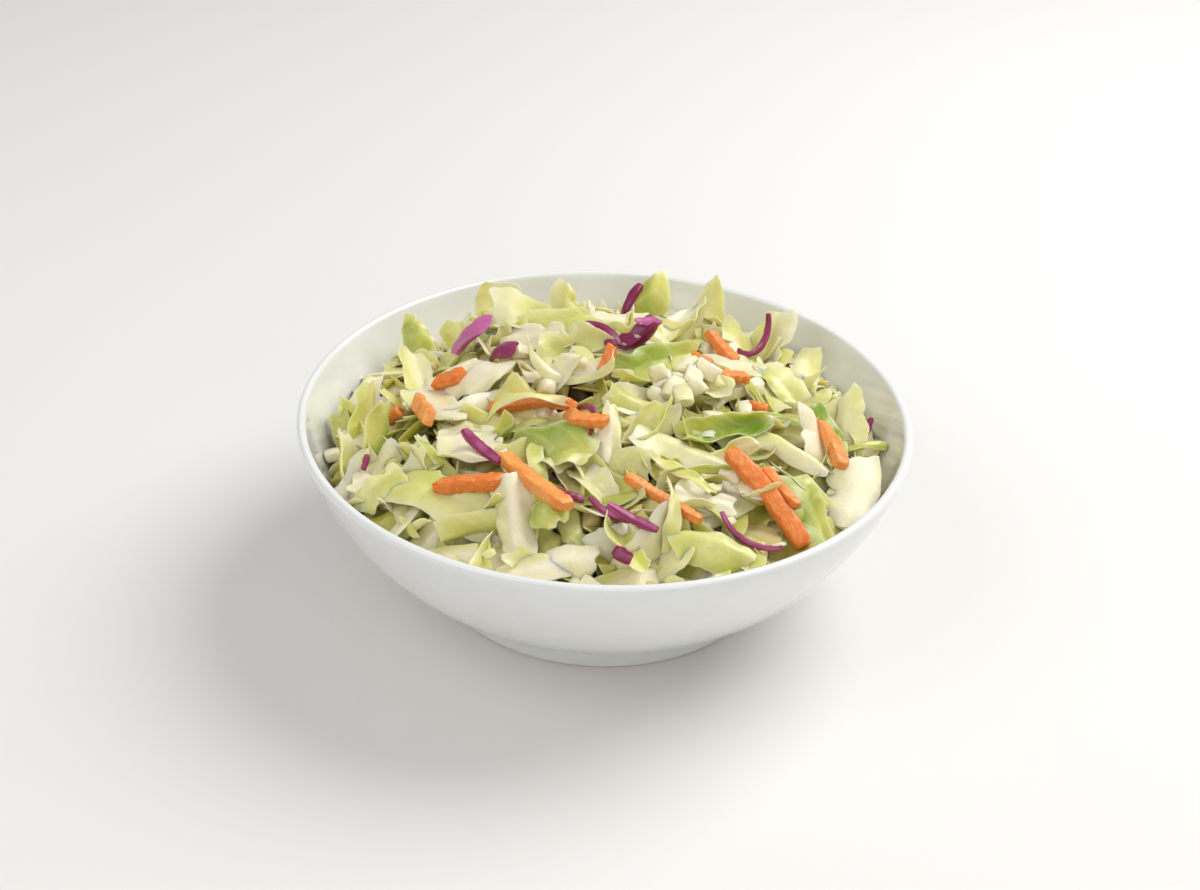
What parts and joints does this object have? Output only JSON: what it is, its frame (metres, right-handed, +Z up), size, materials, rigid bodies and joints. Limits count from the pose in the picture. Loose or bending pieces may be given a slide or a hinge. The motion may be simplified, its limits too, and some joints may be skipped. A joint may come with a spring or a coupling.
{
  "type": "bowl of coleslaw",
  "caption": "Coleslaw of cut white and red cabbage with carrot sticks, heaped in a round white bowl with a foot ring.",
  "frame": {"origin": "centre of the foot ring's underside, on the surface that the bowl stands on", "axes": "+Z up along the bowl's axis; +X to the right and +Y to the back of the heap as it is served"},
  "size_m": [0.155, 0.155, 0.06],
  "materials": {
    "porcelain": "gloss",
    "slaw": "satin"
  },
  "bodies": {
    "root": {"bowl": "porcelain", "coleslaw": "slaw"}
  },
  "joints": []
}
